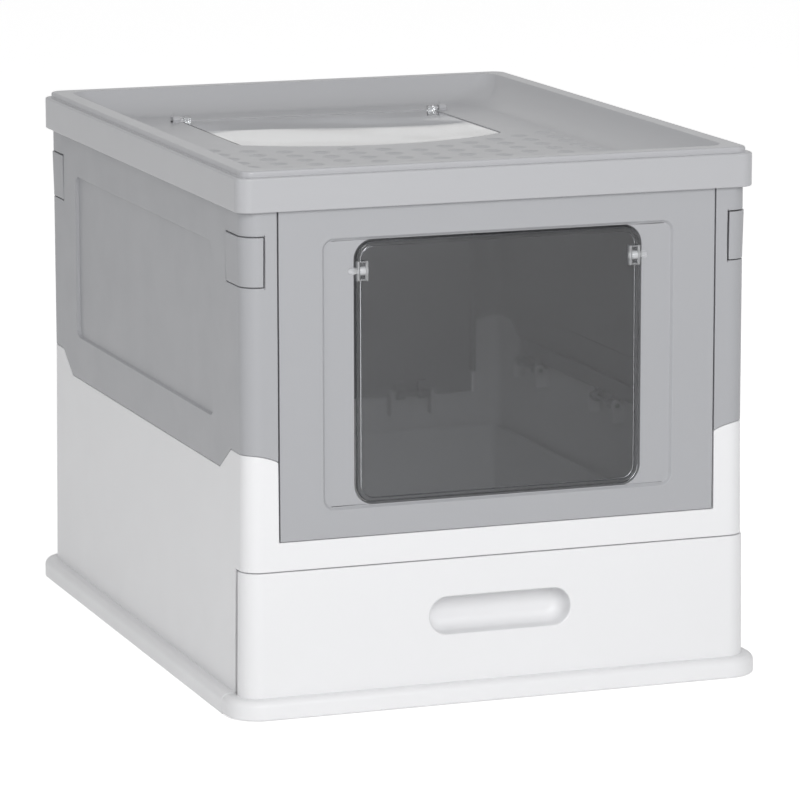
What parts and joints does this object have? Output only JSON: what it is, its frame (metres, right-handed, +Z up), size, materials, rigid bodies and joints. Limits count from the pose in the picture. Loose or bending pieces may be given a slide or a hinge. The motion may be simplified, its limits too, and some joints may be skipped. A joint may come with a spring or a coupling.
{
  "type": "drawer litter box",
  "caption": "Enclosed cat litter box with folding walls, a lift-off dished lid, see-through front and top flaps and a slide-out litter drawer.",
  "frame": {"origin": "on the floor, under the middle of the foot skirt", "axes": "+X to the right, +Y to the rear, front faces -Y, +Z up"},
  "size_m": [0.38, 0.485, 0.365],
  "materials": {
    "white_shell": "satin white moulded plastic",
    "white_tray": "smooth white moulded plastic",
    "grey_shell": "fine satin grey moulded plastic",
    "grey_lid": "fine satin grey moulded plastic",
    "smoked_flap": "smoked see-through acrylic, glossy",
    "clear_flap": "clear glossy acrylic",
    "clear_pin": "clear polished plastic",
    "steel": "drawn steel wire"
  },
  "bodies": {
    "base": {"base_frame": "white_shell", "left_panel": "grey_shell", "right_panel": "grey_shell", "left_hinge_rods": "steel", "right_hinge_rods": "steel", "front_hinge_rods": "steel", "rear_hinge_rods": "steel", "latch_pins": "steel"},
    "drawer": {"drawer_tray": "white_tray", "drawer_front": "white_shell", "drawer_screws": "steel"},
    "front_panel": {"front_panel": "grey_shell"},
    "rear_panel": {"rear_panel": "grey_shell"},
    "front_flap": {"front_flap": "smoked_flap", "front_flap_pin_left": "clear_pin", "front_flap_pin_right": "clear_pin"},
    "lid": {"lid": "grey_lid"},
    "top_flap": {"top_flap": "clear_flap", "top_flap_pin_left": "clear_pin", "top_flap_pin_right": "clear_pin"},
    "latch_front_left": {"latch_front_left": "grey_shell"},
    "latch_front_right": {"latch_front_right": "grey_shell"},
    "latch_rear_left": {"latch_rear_left": "grey_shell"},
    "latch_rear_right": {"latch_rear_right": "grey_shell"}
  },
  "joints": [
    {"name": "drawer_slide", "type": "slide", "parent": "base", "child": "drawer", "axis": [0, -1, 0], "range_m": [0, 0.36]},
    {"name": "lid_lift", "type": "slide", "parent": "base", "child": "lid", "axis": [0, 0, 1], "range_m": [0, 0.2]},
    {"name": "front_fold", "type": "hinge", "parent": "base", "child": "front_panel", "pos_m": [0, -0.2245, 0.1195], "axis": [-1, 0, 0], "range_deg": [0, 90]},
    {"name": "rear_fold", "type": "hinge", "parent": "base", "child": "rear_panel", "pos_m": [0, 0.2245, 0.1195], "axis": [1, 0, 0], "range_deg": [0, 90]},
    {"name": "front_flap_swing", "type": "hinge", "parent": "front_panel", "child": "front_flap", "pos_m": [0, -0.229, 0.2955], "axis": [-1, 0, 0], "range_deg": [-80, 80]},
    {"name": "top_flap_swing", "type": "hinge", "parent": "lid", "child": "top_flap", "pos_m": [0, 0.159, 0.3484], "axis": [-1, 0, 0], "range_deg": [0, 150]},
    {"name": "latch_front_left_turn", "type": "hinge", "parent": "base", "child": "latch_front_left", "pos_m": [-0.1769, -0.1976, 0.305], "axis": [0, 0, -1], "range_deg": [0, 12], "stiffness_Nm_per_rad": 0.2},
    {"name": "latch_front_right_turn", "type": "hinge", "parent": "base", "child": "latch_front_right", "pos_m": [0.1769, -0.1976, 0.305], "axis": [0, 0, 1], "range_deg": [0, 12], "stiffness_Nm_per_rad": 0.2},
    {"name": "latch_rear_left_turn", "type": "hinge", "parent": "base", "child": "latch_rear_left", "pos_m": [-0.1769, 0.1976, 0.305], "axis": [0, 0, 1], "range_deg": [0, 12], "stiffness_Nm_per_rad": 0.2},
    {"name": "latch_rear_right_turn", "type": "hinge", "parent": "base", "child": "latch_rear_right", "pos_m": [0.1769, 0.1976, 0.305], "axis": [0, 0, -1], "range_deg": [0, 12], "stiffness_Nm_per_rad": 0.2}
  ]
}
